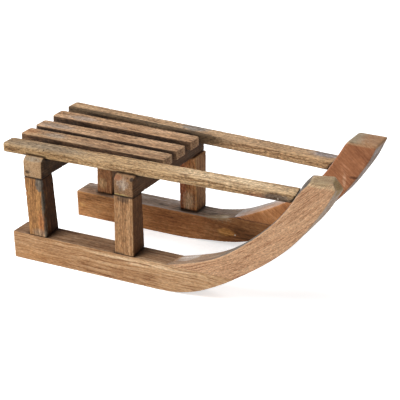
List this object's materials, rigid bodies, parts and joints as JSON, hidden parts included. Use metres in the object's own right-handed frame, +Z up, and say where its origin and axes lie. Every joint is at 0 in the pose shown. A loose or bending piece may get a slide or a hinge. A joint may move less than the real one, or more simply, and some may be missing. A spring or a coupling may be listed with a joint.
{
  "type": "wooden toboggan",
  "caption": "Small wooden toboggan with upswept runner horns, upright posts, crossbars, a slatted seat and side rails running into the horns.",
  "frame": {"origin": "on the ground, under the middle of the whole sled's box", "axes": "+X forward towards the horns, +Y to the rider's left, +Z up"},
  "size_m": [0.5376, 0.22, 0.2131],
  "materials": {
    "runner_wood": "weathered, worn hardwood, waxed thin",
    "horn_wood": "weathered hardwood, grain running up the horn",
    "post_wood": "weathered, sawn hardwood with chipped edges",
    "crossbar_wood": "weathered, sawn hardwood",
    "slat_wood": "weathered, rubbed hardwood with rounded edges",
    "rail_wood": "weathered, rubbed hardwood with rough sawn sides",
    "dowel_wood": "plain turned hardwood",
    "steel_screws": "plain zinc-grey steel"
  },
  "bodies": {
    "root": {"centre_seat_slat": "slat_wood", "front_crossbar": "crossbar_wood", "front_slat_screws": "steel_screws", "left_front_post": "post_wood", "left_rear_post": "post_wood", "left_runner_board": "runner_wood", "left_runner_horn": "horn_wood", "left_scarf_dowels": "dowel_wood", "left_seat_slat": "slat_wood", "left_side_rail": "rail_wood", "rail_bar_dowels": "dowel_wood", "rail_horn_dowels": "dowel_wood", "rear_crossbar": "crossbar_wood", "rear_slat_screws": "steel_screws", "right_front_post": "post_wood", "right_rear_post": "post_wood", "right_runner_board": "runner_wood", "right_runner_horn": "horn_wood", "right_scarf_dowels": "dowel_wood", "right_seat_slat": "slat_wood", "right_side_rail": "rail_wood"}
  },
  "joints": []
}
